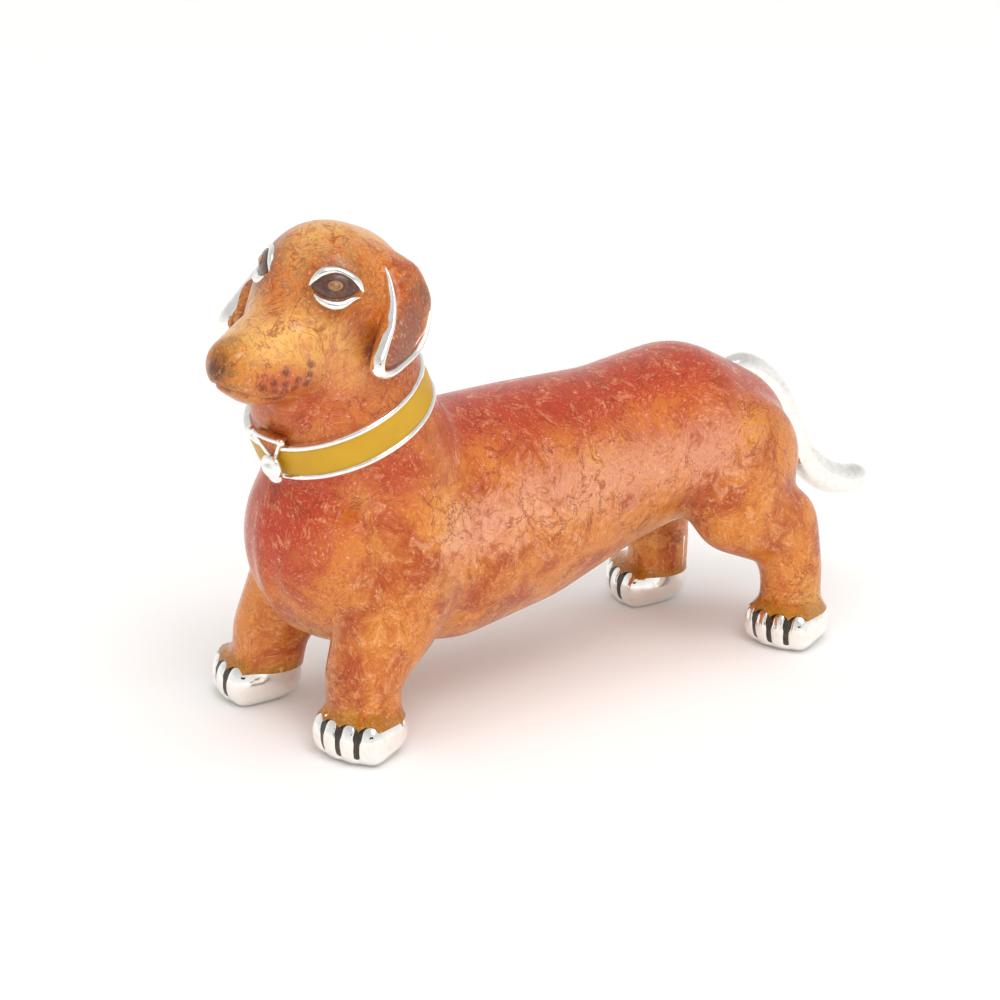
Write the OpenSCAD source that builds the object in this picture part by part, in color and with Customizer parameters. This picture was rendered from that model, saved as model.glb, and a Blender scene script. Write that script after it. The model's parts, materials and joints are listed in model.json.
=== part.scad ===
// Enamelled silver dachshund, standing with its head turned a little to its left.
// The frame: millimetres, +Z up, the dog faces -Y and its left side is +X. The soles rest on Z = 0.
// The metal is a hollow silver body in two halves and a hollow head, with a solid tail, ears, collar
// and paws soldered on. Each enamel field is its own fired layer between bare silver edges.

/* [Walls] */
// Thickness of the enamel coat on body and head
coat_t = 0.6; // [0.5:0.1:0.7]
// Wall of the hollow silver castings under the coat
wall_t = 0.9; // [0.8:0.1:1.1]
// Facets round each rounded form
form_fn = 14; // [12:2:16]
// Facets round the forms of the castings' hollow inside
hollow_fn = 10; // [8:2:12]
// Facets round the forms of the paws
paw_fn = 12; // [12:2:16]

/* [Head] */
// Angle that the head is turned to the dog's left, in degrees
head_turn = 14; // [10:1:18]
// Tilt of the head, left ear down, in degrees
head_tilt = 3.5; // [1:0.5:5]
// Radius of the skull
skull_r = 6.7; // [6.5:0.1:6.9]

/* [Eyes] */
// Half length of the eye's almond
eye_half_l = 2.0; // [1.8:0.1:2.1]
// Half height of the eye's almond
eye_half_h = 1.25; // [1.1:0.05:1.35]
// Width of the bare silver lids
lid_w = 0.55; // [0.4:0.05:0.65]

/* [Collar] */
// Outer radius of the collar
collar_r = 8.1; // [8:0.05:8.3]
// Width of the band along the neck
collar_w = 3.5; // [3.3:0.1:3.7]
// Width of each silver rim of the band
collar_rim = 0.45; // [0.35:0.05:0.55]
// Depth of the yellow enamel in its channel
collar_channel = 0.45; // [0.3:0.05:0.5]

/* [Paws] */
// Half the width of a front paw
front_paw_w = 3.8; // [3.6:0.1:4]
// Half the width of a rear paw
rear_paw_w = 3.5; // [3.3:0.1:3.7]
// Width of the black lines between the toes
toe_line_w = 0.7; // [0.6:0.1:0.9]
// Angle that each paw's toes point outwards, in degrees
toe_out = 18; // [12:2:22]
// Depth of the black lines between the toes
toe_line_t = 0.4; // [0.3:0.1:0.5]

/* [Hidden] */

silver = [0.86, 0.85, 0.83];
coat_orange = [0.80, 0.36, 0.16];
ear_brown = [0.50, 0.25, 0.18];
eye_brown = [0.20, 0.09, 0.05];
pupil_tan = [0.62, 0.42, 0.20];
nose_brown = [0.45, 0.27, 0.13];
collar_yellow = [0.80, 0.63, 0.02];
toe_black = [0.08, 0.06, 0.05];

LEFT = 1;
RIGHT = -1;
far = 60;           // further than any part of the dog
shift = [0.1, -3];  // puts the middle of the model's box over the origin

// Where the head's centre is and where the collar's is, and how far the collar's axis leans forward.
head_at = [0.3, -19.3, 37.5];
collar_at = [0, -18.2, 28.0];
collar_lean = 23;
neck_core_r = collar_r - 1.1;

// Paw centres on the ground, [x, y]. The right rear paw is a step ahead of the left.
front_left_at = [7.5, -21.2];
front_right_at = [-7.7, -21.5];
rear_left_at = [7.6, 24.2];
rear_right_at = [-7.2, 20.0];
front_paw_size = [front_paw_w, 4.0, 5.0];       // half width, half length, height
rear_paw_size = [rear_paw_w, 3.8, 4.7];

// Each row of a form is [centre, half sizes] of one ellipsoid. Rows next to each other are joined.
torso = [
    [[0, 21.8, 17.6], [6.7, 6.1, 6.4]],     // rump
    [[0, 16.8, 19.4], [8.0, 7.0, 7.4]],     // hips
    [[0, 8.8, 18.0], [7.6, 7.0, 8.1]],      // loin
    [[0, 0.0, 16.6], [8.7, 7.0, 9.8]],      // last ribs
    [[0, -8.5, 15.9], [9.3, 8.0, 10.5]],    // ribs
    [[0, -17.6, 16.8], [8.6, 8.8, 9.6]]     // chest
];
neck = [
    [[0, -15.8, 22.5], [8.4, 8.4, 5.6]],
    [[0, -17.2, 26.5], [7.8, 8.2, 3.5]],
    [[0, -18.2, 29.0], [collar_r - 0.4, collar_r - 0.3, 3.0]],
    [[0, -18.8, 32.3], [7.1, 7.2, 4.0]],
    [[0.2, -19.3, 35.5], [6.4, 6.4, 4.0]]
];
// In the head's own frame: +X its left, -Y the way it looks, the skull's centre at the origin.
skull = [
    [[0, 1.4, -0.2], [skull_r - 0.2, skull_r - 1.0, skull_r - 0.2]],
    [[0, -0.5, 0.0], [skull_r - 0.1, skull_r - 0.7, skull_r + 0.4]]
];
muzzle = [
    [[0, -2.6, -1.6], [5.7, 4.2, 5.0]],
    [[0, -6.0, -2.9], [4.5, 3.8, 4.1]],
    [[0, -9.0, -3.3], [3.6, 3.2, 3.4]],
    [[0, -11.6, -2.7], [2.4, 2.2, 2.4]]
];

function front_leg(p, side) = [
    [[side * 5.7, -14.5, 17.0], [3.6, 6.4, 6.6]],           // shoulder
    [[side * 6.6, -17.6, 11.4], [3.8, 4.8, 4.6]],           // elbow
    [[p.x - side * 1.2, p.y + 0.9, 6.6], [3.3, 3.3, 2.8]],  // wrist
    [[p.x - side * 0.9, p.y + 0.7, 3.4], [3.0, 3.1, 1.8]]   // inside the paw
];
function rear_leg(p, side) = [
    [[side * 5.0, p.y - 4.0, 16.8], [4.2, 6.4, 6.3]],       // thigh
    [[side * 6.3, p.y - 4.4, 12.6], [3.4, 4.4, 3.8]],       // knee
    [[side * 6.8, p.y + 0.1, 10.4], [2.9, 3.3, 3.8]],       // hock
    [[p.x - side * 0.9, p.y + 0.8, 6.4], [2.6, 2.8, 2.6]],  // shin
    [[p.x - side * 0.9, p.y + 0.7, 3.2], [2.5, 2.7, 1.8]]   // inside the paw
];

// ---------- Rounded forms: each is drawn at the outer skin, or set in from it by an inset ----------

module placed() {
    translate([shift.x, shift.y, 0]) children();
}

module ellipsoid(row, inset = 0, facets = form_fn) {
    translate(row[0])
        scale([for (half = row[1]) half - inset])
            sphere(1, $fn = facets);
}

module joined(rows, inset = 0) {
    facets = inset > coat_t ? hollow_fn : form_fn;
    for (i = [0 : len(rows) - 2])
        hull() {
            ellipsoid(rows[i], inset, facets);
            ellipsoid(rows[i + 1], inset, facets);
        }
}

module at_head() {
    translate(head_at) rotate([0, head_tilt, head_turn]) children();
}

module at_collar() {
    translate(collar_at) rotate([collar_lean, 0, 0]) children();
}

// Everything above, or below, a plane across the neck at this height from the collar's middle.
module above_collar(height) {
    at_collar() translate([-far, -far, height]) cube(2 * far);
}

module below_collar(height) {
    at_collar() translate([-far, -far, height - 2 * far]) cube(2 * far);
}

module body_form(inset = 0) {
    joined(torso, inset);
    joined(neck, inset);
    joined(front_leg(front_left_at, LEFT), inset);
    joined(front_leg(front_right_at, RIGHT), inset);
    joined(rear_leg(rear_left_at, LEFT), inset);
    joined(rear_leg(rear_right_at, RIGHT), inset);
}

module head_form(inset = 0) {
    joined(neck, inset);
    at_head() {
        joined(skull, inset);
        joined(muzzle, inset);
    }
}

// ---------- Castings and their coats ----------

module body_half(side) {
    color(silver) difference() {
        body_form(coat_t);
        body_form(coat_t + wall_t);
        above_collar(0);
        all_paw_forms();
        translate([side == LEFT ? -2 * far : 0, -far, -far]) cube(2 * far);
        collar_seat();
        tail_form();
        tag_form();
    }
}

module body_enamel() {
    color(coat_orange) difference() {
        body_form();
        body_form(coat_t);
        above_collar(-collar_w / 2);
        all_paw_forms();
        tail_form();
        tag_form();
    }
}

module head_casting() {
    color(silver) difference() {
        head_form(coat_t);
        head_form(coat_t + wall_t);
        below_collar(0);
        collar_seat();
    }
}

module head_enamel() {
    color(coat_orange) difference() {
        head_form();
        head_form(coat_t);
        below_collar(collar_w / 2);
        at_head() {
            nose_zone();
            for (side = [LEFT, RIGHT]) {
                joined(ear_rows(side));
                at_eye(side) translate([0, 0, -eye_depth]) linear_extrude(eye_reach) almond(lid_w);
            }
        }
    }
}

// The nose is a field of darker enamel over the tip of the muzzle.
nose_row = [[0, -13.6, -1.9], [2.2, 2.6, 2.0]];

module nose_zone() {
    ellipsoid(nose_row);
}

module nose() {
    color(nose_brown) intersection() {
        difference() {
            head_form();
            head_form(coat_t);
        }
        at_head() nose_zone();
    }
}

// ---------- Tail ----------

// The tail's centre line as [y, z, radius], from its root in the rump to its tip.
tail_line = [
    [21.8, 23.6, 0.6], [24.4, 23.4, 1.25], [26.7, 21.9, 1.35], [28.8, 19.2, 1.35], [30.0, 16.4, 1.35],
    [31.4, 13.6, 1.45], [33.4, 11.6, 1.5], [35.6, 10.5, 1.45], [37.5, 10.2, 1.3]
];
tail_sides = 12;
tail_steps = 2;     // rings for each step along the centre line

// The smooth curve through four rows of numbers, from p1 at t = 0 to p2 at t = 1.
function between(p0, p1, p2, p3, t) =
    0.5 * (2 * p1 + (p2 - p0) * t + (2 * p0 - 5 * p1 + 4 * p2 - p3) * t * t
    + (3 * p1 - p0 - 3 * p2 + p3) * t * t * t);
function nearest(rows, i) = rows[max(0, min(len(rows) - 1, i))];
function smoothed(rows, steps) = [
    for (i = [0 : len(rows) - 2], s = [0 : steps - 1])
        between(nearest(rows, i - 1), rows[i], rows[i + 1], nearest(rows, i + 2), s / steps),
    rows[len(rows) - 1]
];
function unit(v) = v / norm(v);
// Rings that close a swept end with a dome. It stops a little short of its pole.
dome_rings = 4;
dome_end = 84;
function dome(end, dir) = [
    for (i = [1 : dome_rings]) let (a = dome_end * i / dome_rings)
        [end[0] + dir[0] * end[2] * sin(a), end[1] + dir[1] * end[2] * sin(a), end[2] * cos(a)]
];

module tail_form() {
    line = smoothed(tail_line, tail_steps);
    last = line[len(line) - 1];
    prior = line[len(line) - 2];
    rings = concat(line, dome(last, unit([last[0] - prior[0], last[1] - prior[1]])));
    n = len(rings);
    points = [
        for (i = [0 : n - 1]) let (
            a = nearest(rings, i - 1), b = nearest(rings, i + 1), along = unit([b[0] - a[0], b[1] - a[1]])
        ) for (k = [0 : tail_sides - 1]) let (t = 360 * k / tail_sides, r = rings[i][2])
            [r * cos(t), rings[i][0] - along[1] * r * sin(t), rings[i][1] + along[0] * r * sin(t)]
    ];
    faces = concat(
        [[for (k = [tail_sides - 1 : -1 : 0]) k]],
        [for (i = [0 : n - 2], k = [0 : tail_sides - 1]) let (next = (k + 1) % tail_sides)
            [i * tail_sides + next, (i + 1) * tail_sides + next, (i + 1) * tail_sides + k, i * tail_sides + k]],
        [[for (k = [0 : tail_sides - 1]) (n - 1) * tail_sides + k]]
    );
    polyhedron(points = points, faces = faces);
}

module tail() {
    color(silver) tail_form();
}

// ---------- Ears, in the head's frame ----------

// A hanging flap that flares outwards and forwards towards its tip.
function ear_rows(side) = [
    [[side * 5.4, 2.5, 3.2], [1.5, 2.9, 2.2]],
    [[side * 6.9, 1.9, 1.4], [1.15, 3.0, 2.3]],
    [[side * 7.8, -0.1, -0.8], [1.0, 3.0, 2.0]],
    [[side * 8.2, -2.0, -2.2], [0.85, 2.1, 1.35]]
];
ear_rim = 0.5;          // width of the bare rim
ear_enamel_t = 0.35;    // depth of the enamel inside it
ear_field_out = 0.25;   // the field starts this far outside the middle of the flap
ear_field_reach = 4;    // and runs out past its face

// The field of the ear's enamel: the outer face of the flap, inside its bare rim.
module ear_field(side) {
    rows = ear_rows(side);
    for (i = [0 : len(rows) - 2])
        hull()
            for (row = [rows[i], rows[i + 1]])
                translate([row[0].x + side * ear_field_out, row[0].y, row[0].z])
                    rotate([0, side * 90, 0])
                        scale([row[1].z - ear_rim, row[1].y - ear_rim, 1])
                            cylinder(h = ear_field_reach, r = 1, $fn = form_fn);
}

// The tray that the enamel fills, open outwards.
module ear_tray(side) {
    difference() {
        ear_field(side);
        joined(ear_rows(side), ear_enamel_t);
    }
}

module ear(side) {
    color(silver) difference() {
        at_head() joined(ear_rows(side));
        head_form(coat_t);
        at_head() ear_tray(side);
    }
}

module ear_enamel(side) {
    color(ear_brown) difference() {
        at_head() intersection() {
            joined(ear_rows(side));
            ear_tray(side);
        }
        head_form(coat_t);
    }
}

// ---------- Eyes ----------

// The middle of the left eye in the head's frame, and which way it faces: out to the side and up.
eye_at = [4.15, -3.9, 3.4];
eye_turn = 44;
eye_tilt = 18;
eyeball_r = 5;
eye_fn = 160;       // facets round the almond and the eye's dome
eye_depth = 1.2;    // how deep the eye is set in, from the skin
eye_reach = 3;      // and how far its outline runs, out past the dome
lid_dome = 0.4;     // height of the lids' dome over the skin
eye_dome = 0.1;     // of the enamel's
pupil_dome = 0.14;  // and of the pupil's
pupil_at = [0.1, 0.05, -0.3];
pupil_r = 0.62;
pupil_squash = 0.72;
pupil_reach = 2;

// A frame on the eye: X along the almond, Y up, Z out of the head.
module at_eye(side) {
    mirror([side == LEFT ? 0 : 1, 0, 0])
        translate(eye_at) rotate([0, 0, eye_turn]) rotate([90 - eye_tilt, 0, 0]) children();
}

module almond(grow = 0) {
    w = eye_half_l + grow;
    h = eye_half_h + grow;
    r = (w * w + h * h) / (2 * h);
    intersection() {
        translate([0, h - r]) circle(r, $fn = eye_fn);
        translate([0, r - h]) circle(r, $fn = eye_fn);
    }
}

// What is under a dome that stands this high over the eye's middle.
module under_dome(height) {
    translate([0, 0, height - eyeball_r]) sphere(eyeball_r, $fn = eye_fn);
}

module pupil_column() {
    translate(pupil_at) linear_extrude(pupil_reach) scale([1, pupil_squash]) circle(pupil_r, $fn = 32);
}

module eyelids(side) {
    color(silver) at_head() at_eye(side) intersection() {
        translate([0, 0, -eye_depth]) linear_extrude(eye_reach) difference() {
            almond(lid_w);
            almond();
        }
        under_dome(lid_dome);
    }
}

module eye(side) {
    color(eye_brown) at_head() at_eye(side) difference() {
        intersection() {
            translate([0, 0, -eye_depth]) linear_extrude(eye_reach) almond();
            under_dome(eye_dome);
        }
        pupil_column();
    }
}

module pupil(side) {
    color(pupil_tan) at_head() at_eye(side) intersection() {
        pupil_column();
        under_dome(pupil_dome);
    }
}

// ---------- Collar ----------

tag_turn = 11;      // the ring and tag sit this far round to the dog's left, in degrees
band_fn = 96;       // facets round the band
seat_out = 3;       // the collar's seat runs this far out past the band
enamel_sunk = 0.06; // the yellow enamel lies this far under the band's rims

module band(inner, outer, half) {
    rotate_extrude($fn = band_fn) translate([inner, -half]) square([outer - inner, 2 * half]);
}

// The room that the collar takes out of the castings.
module collar_seat() {
    at_collar() band(neck_core_r, collar_r + seat_out, collar_w / 2);
}

module collar() {
    color(silver) at_collar() difference() {
        band(neck_core_r, collar_r, collar_w / 2);
        band(collar_r - collar_channel, collar_r + 1, collar_w / 2 - collar_rim);
        at_tag() ring_plate(ring_outer);
    }
}

module collar_enamel() {
    color(collar_yellow) at_collar() difference() {
        band(collar_r - collar_channel, collar_r - enamel_sunk, collar_w / 2 - collar_rim);
        at_tag() ring_plate(ring_outer);
    }
}

// A frame on the band's front: X round the band, Y up the neck, Z out of it.
module at_tag() {
    rotate([0, 0, tag_turn]) translate([0, -collar_r, 0]) rotate([90, 0, 0]) children();
}

ring_corners = [[-0.95, 0.75], [0.95, 0.75], [0, -0.85]];
ring_outer = 0.85;      // radius of the ring's corners outside
ring_inner = 0.4;       // and inside
ring_depth = 1.3;       // how deep the ring is set into the band
ring_top = 0.4;         // how far it stands out of it
ring_fill = 0.2;        // and the enamel inside it

module ring_plate(r, top = ring_top) {
    translate([0, 0, -ring_depth]) linear_extrude(ring_depth + top) hull()
        for (at = ring_corners) translate(at) circle(r, $fn = 24);
}

module collar_ring() {
    color(silver) at_collar() at_tag() difference() {
        ring_plate(ring_outer);
        ring_plate(ring_inner, 2 * ring_top);
    }
}

module collar_ring_enamel() {
    color(coat_orange) at_collar() at_tag() ring_plate(ring_inner, ring_fill);
}

// The tag: a tongue that hangs from the ring over the edge of the chest.
tag_rows = [
    [[0, -1.4, 0.4], [0.95, 0.6, 0.7]],
    [[0.1, -2.3, 0.7], [0.85, 0.75, 0.65]]
];

module tag_form() {
    at_collar() at_tag() joined(tag_rows);
}

module collar_tag() {
    color(silver) tag_form();
}

// ---------- Paws ----------

// Shares of a paw's half width, half length and height.
toe_share = 0.34;               // a toe's radius and the step to the next, of the half width
toe_long = 1.1;                 // a toe's half length, of its radius
toe_rise = 0.4;                 // the height of its middle, of the paw's height
toe_half = 0.42;                // and its half height
toe_back = 0.25;                // an outer toe sits this much further back, of its radius
heel_at = [0, 0.12, 0.46];
heel_half = [0.86, 0.86, 0.54];
line_foot = 0.14;               // where the black lines start, of the height
line_run = 0.8;                 // how far they run back, of the half length
line_front = 2;                 // they are cut from this far before the paw
toe_fan = 12;                   // degrees between one toe and the next

function shares(size, part) = [for (i = [0 : 2]) size[i] * part[i]];

module at_paw(at) {
    translate([at.x, at.y, 0]) rotate([0, 0, sign(at.x) * toe_out]) children();
}

// Four toes fan out from the heel of a paw.
module paw_form(at, size, inset = 0) {
    toe_r = size.x * toe_share;
    intersection() {
        at_paw(at)
            for (i = [-1.5 : 1 : 1.5])
                hull() {
                    ellipsoid([shares(size, heel_at), shares(size, heel_half)], inset, paw_fn);
                    translate([i * toe_r, 0, 0]) rotate([0, 0, i * toe_fan])
                        ellipsoid([[0, toe_r * (1 + abs(i) * toe_back) - size.y, size.z * toe_rise],
                            [toe_r, toe_r * toe_long, size.z * toe_half]], inset, paw_fn);
                }
        translate([-far, -far, 0]) cube(2 * far);
    }
}

module all_paw_forms() {
    paw_form(front_left_at, front_paw_size);
    paw_form(front_right_at, front_paw_size);
    paw_form(rear_left_at, rear_paw_size);
    paw_form(rear_right_at, rear_paw_size);
}

// Three upright slots between the toes, down to a small depth under the paw's skin.
module toe_slots(at, size) {
    difference() {
        at_paw(at)
            for (i = [-1, 0, 1])
                translate([i * size.x * toe_share, 0, 0]) rotate([0, 0, i * toe_fan])
                    translate([-toe_line_w / 2, -size.y - line_front, size.z * line_foot])
                        cube([toe_line_w, size.y * line_run + line_front, size.z]);
        paw_form(at, size, toe_line_t);
    }
}

module paw(at, size) {
    color(silver) difference() {
        paw_form(at, size);
        toe_slots(at, size);
    }
}

module toe_lines(at, size) {
    color(toe_black) intersection() {
        paw_form(at, size);
        toe_slots(at, size);
    }
}

placed() body_half(LEFT);  // body_half_left
placed() body_half(RIGHT);  // body_half_right
placed() head_casting();
placed() body_enamel();
placed() head_enamel();
placed() tail();
placed() ear(LEFT);  // left_ear
placed() ear(RIGHT);  // right_ear
placed() ear_enamel(LEFT);  // left_ear_enamel
placed() ear_enamel(RIGHT);  // right_ear_enamel
placed() eyelids(LEFT);  // left_eyelids
placed() eyelids(RIGHT);  // right_eyelids
placed() eye(LEFT);  // left_eye
placed() eye(RIGHT);  // right_eye
placed() pupil(LEFT);  // left_pupil
placed() pupil(RIGHT);  // right_pupil
placed() nose();
placed() collar();
placed() collar_enamel();
placed() collar_ring();
placed() collar_ring_enamel();
placed() collar_tag();
placed() paw(front_left_at, front_paw_size);  // front_left_paw
placed() paw(front_right_at, front_paw_size);  // front_right_paw
placed() paw(rear_left_at, rear_paw_size);  // rear_left_paw
placed() paw(rear_right_at, rear_paw_size);  // rear_right_paw
placed() toe_lines(front_left_at, front_paw_size);  // front_left_toe_lines
placed() toe_lines(front_right_at, front_paw_size);  // front_right_toe_lines
placed() toe_lines(rear_left_at, rear_paw_size);  // rear_left_toe_lines
placed() toe_lines(rear_right_at, rear_paw_size);  // rear_right_toe_lines
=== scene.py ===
"""Looks of the enamelled silver dachshund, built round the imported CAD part.

Shapes are worked out in millimetres in the CAD's own frame and turned to metres when a piece is made.
The skin of the whole dog is modelled once, as a sculptor would: forms are laid over each other, melted
together and pressed with strokes. Then it is cut into the enamel coats and the bare silver paws.
"""

import json
import math

import bmesh
import bpy
import numpy as np
from mathutils import Matrix, Vector
from mathutils.bvhtree import BVHTree


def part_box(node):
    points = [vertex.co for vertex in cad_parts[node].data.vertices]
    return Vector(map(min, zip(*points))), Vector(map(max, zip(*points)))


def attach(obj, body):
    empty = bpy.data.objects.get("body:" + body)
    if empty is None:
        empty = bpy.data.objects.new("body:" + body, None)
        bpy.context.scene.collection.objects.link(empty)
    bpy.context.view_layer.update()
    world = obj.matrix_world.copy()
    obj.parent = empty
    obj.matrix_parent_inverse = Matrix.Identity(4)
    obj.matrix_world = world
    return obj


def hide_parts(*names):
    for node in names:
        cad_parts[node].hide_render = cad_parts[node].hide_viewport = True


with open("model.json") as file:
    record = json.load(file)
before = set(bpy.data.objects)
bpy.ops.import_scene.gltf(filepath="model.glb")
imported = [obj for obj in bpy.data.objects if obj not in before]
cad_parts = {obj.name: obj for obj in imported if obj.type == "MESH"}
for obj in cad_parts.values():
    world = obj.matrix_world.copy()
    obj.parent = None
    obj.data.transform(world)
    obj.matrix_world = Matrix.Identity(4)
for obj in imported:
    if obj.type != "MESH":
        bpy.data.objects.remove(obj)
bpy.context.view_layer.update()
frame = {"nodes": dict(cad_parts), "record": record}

MM = 0.001
LEFT, RIGHT = 1, -1
SKIN_GRID = 0.24    # spacing of the skin's mesh, mm
HEAD_GRID = 0.17    # and of the head's
SKIN_SWELL = 0.06   # what the skin gets back after it is softened
COAT_STEP = 0.09    # the bare paws lie this far under the skin, so the coat stands proud of them


# ---------- Places, all taken from the CAD ----------

# The left front paw's middle is the record's mount; the forms are laid out from the point that is
# 7.5 mm to its right and 21.2 mm behind it, on the floor under the ribs.
mount = Vector(frame["record"]["mounts"][0]["pos_m"]) / MM
START = mount - Vector((7.5, -21.2, 0))


def middle(node):
    """The middle of a CAD node's box, in mm."""
    low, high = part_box(node)
    return (low + high) / 2 / MM


def turned(degrees, axis):
    return Matrix.Rotation(math.radians(degrees), 4, axis)


BODY = Matrix.Translation(START)
# Head: +X is its left, -Y the way it looks. It is turned and tilted a little to the dog's left.
HEAD = BODY @ Matrix.Translation((0.3, -19.3, 37.5)) @ turned(14, "Z") @ turned(3.5, "Y")
COLLAR = Matrix.Translation(middle("collar")) @ turned(23, "X")
# On the collar's front: +X round the band, +Y up the neck, +Z out of it.
COLLAR_RADIUS = 8.1
TAG = COLLAR @ turned(11, "Z") @ Matrix.Translation((0, -COLLAR_RADIUS, 0)) @ turned(90, "X")


def eye_place(side):
    """On an eye: +X along the almond to its outer corner, +Y up, +Z out of the head."""
    mirror = Matrix.Diagonal((side, 1, 1, 1))
    return HEAD @ mirror @ Matrix.Translation((4.15, -3.9, 3.4)) @ turned(44, "Z") @ turned(72, "X")


FRONT, REAR = (3.8, 4.0, 5.0), (3.5, 3.8, 4.7)      # half width, half length and height of a paw
PAWS = {}
for paw_name in ("front_left", "front_right", "rear_left", "rear_right"):
    spot = middle(paw_name + "_paw")
    PAWS[paw_name] = (Vector((spot.x, spot.y, 0)), FRONT if "front" in paw_name else REAR)


# ---------- Forms: rows of (centre, half sizes), each joined to the next by a taut skin ----------

TORSO = [
    ((0, 21.8, 17.6), (6.7, 6.1, 6.4)),
    ((0, 16.8, 19.4), (8.0, 7.0, 7.4)),
    ((0, 8.8, 18.0), (7.6, 7.0, 8.1)),
    ((0, 0.0, 16.6), (8.7, 7.0, 9.8)),
    ((0, -8.5, 15.9), (9.3, 8.0, 10.5)),
    ((0, -17.6, 16.8), (8.6, 8.8, 9.6)),
]
NECK = [
    ((0, -15.8, 22.5), (8.4, 8.4, 5.6)),
    ((0, -17.2, 26.5), (7.8, 8.2, 3.5)),
    ((0, -18.2, 29.0), (7.7, 7.8, 3.0)),
    ((0, -18.8, 32.3), (7.1, 7.2, 4.0)),
    ((0.2, -19.3, 35.5), (6.4, 6.4, 4.0)),
]
SKULL = [((0, 1.4, -0.2), (6.5, 5.7, 6.5)), ((0, -0.5, 0.0), (6.6, 6.0, 7.1))]
MUZZLE = [
    ((0, -2.6, -1.6), (5.7, 4.2, 5.0)),
    ((0, -6.0, -2.9), (4.5, 3.8, 4.1)),
    ((0, -9.0, -3.3), (3.6, 3.2, 3.4)),
    ((0, -11.6, -2.7), (2.4, 2.2, 2.4)),
]


def front_leg(side, paw):
    at = paw - START
    return [
        ((side * 5.7, -14.5, 17.0), (3.6, 6.4, 6.6)),
        ((side * 6.6, -17.6, 11.4), (3.8, 4.8, 4.6)),
        ((at.x - side * 1.2, at.y + 0.9, 6.6), (3.3, 3.3, 2.8)),
        ((at.x - side * 0.9, at.y + 0.7, 3.4), (3.0, 3.1, 1.8)),
    ]


def rear_leg(side, paw):
    at = paw - START
    return [
        ((side * 5.0, at.y - 4.0, 16.8), (4.2, 6.4, 6.3)),
        ((side * 6.3, at.y - 4.4, 12.6), (3.4, 4.4, 3.8)),
        ((side * 6.8, at.y + 0.1, 10.4), (2.9, 3.3, 3.8)),
        ((at.x - side * 0.9, at.y + 0.8, 6.4), (2.6, 2.8, 2.6)),
        ((at.x - side * 0.9, at.y + 0.7, 3.2), (2.5, 2.7, 1.8)),
    ]


# The left ear: its root on the skull, then the front and the back of the flap, down to the tip.
EAR = [
    [((2.6, 1.6, 3.4), (2.6, 3.0, 2.1))],
    [((5.4, 1.5, 2.8), (1.4, 1.4, 1.9)), ((5.4, 3.5, 2.4), (1.4, 1.5, 1.9))],
    [((7.0, 0.9, 1.4), (1.15, 1.35, 1.6)), ((6.8, 3.2, 1.0), (1.15, 1.6, 1.9))],
    [((7.8, -0.8, -0.5), (1.0, 1.3, 1.6)), ((7.6, 1.9, -0.4), (1.0, 1.5, 1.7))],
    [((8.2, -2.0, -2.0), (0.9, 1.15, 1.15)), ((8.1, -0.2, -1.8), (0.9, 1.3, 1.15))],
]


EAR_DROP = {LEFT: 0.0, RIGHT: 0.9}      # the right ear hangs a little lower


def ear_spot(side, place):
    """A place on an ear, from the same place on the left ear."""
    x, y, z = place
    return side * x, y, z - EAR_DROP[side]


TOE_SHARE = 0.34    # a toe's radius and the step to the next, as a share of the paw's half width
TOE_FAN = 12        # degrees between one toe and the next
TOE_OUT = 18        # degrees that each paw's toes point outwards
HEEL_AT = (0, 0.12, 0.42)           # the heel's middle and half sizes, as shares of the paw's size
HEEL_HALF = (0.97, 0.93, 0.5)
TOE_RISE = 0.4      # height of a toe's middle, as a share of the paw's
TOE_BACK = 0.4      # an outer toe starts this much further back, in toe radii for each step


def paw_place(spot):
    """On the floor under a paw, turned as its toes point."""
    return Matrix.Translation(spot) @ turned(math.copysign(TOE_OUT, spot.x), "Z")


def hulled(solid, balls, place, facets):
    """Adds the taut skin over a few ellipsoids."""
    lump = bmesh.new()
    for centre, half in balls:
        at = place @ Matrix.Translation(centre) @ Matrix.Diagonal((*half, 1))
        bmesh.ops.create_uvsphere(lump, u_segments=facets, v_segments=facets // 2, radius=1, matrix=at)
    bmesh.ops.delete(lump, geom=lump.edges[:], context="EDGES_FACES")
    bmesh.ops.convex_hull(lump, input=lump.verts[:])
    bmesh.ops.delete(lump, geom=[v for v in lump.verts if not v.link_faces], context="VERTS")
    pour(lump, solid)


def taut_skin(solid, rows, place=BODY, facets=40):
    """Adds one closed form for each two rows that follow each other."""
    for pair in zip(rows, rows[1:]):
        hulled(solid, pair, place, facets)


def pour(part, solid):
    """Adds one bmesh to another."""
    mesh = bpy.data.meshes.new("part")
    part.to_mesh(mesh)
    part.free()
    solid.from_mesh(mesh)
    bpy.data.meshes.remove(mesh)


def add_paw(solid, at, size):
    """Four toes that fan out from the heel."""
    width, length, height = size
    toe = width * TOE_SHARE
    heel = tuple(tuple(a * b for a, b in zip(shares, size)) for shares in (HEEL_AT, HEEL_HALF))
    for step in (-1.5, -0.5, 0.5, 1.5):
        ahead = Vector((0, toe * (1 + abs(step) * TOE_BACK) - length, height * TOE_RISE))
        tip = Vector((step * toe, 0, 0)) + turned(step * TOE_FAN, "Z") @ ahead
        taut_skin(solid, [heel, (tip, (toe, toe * 1.1, height * 0.42))], paw_place(at), 28)


# ---------- Melting and sculpting ----------


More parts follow.
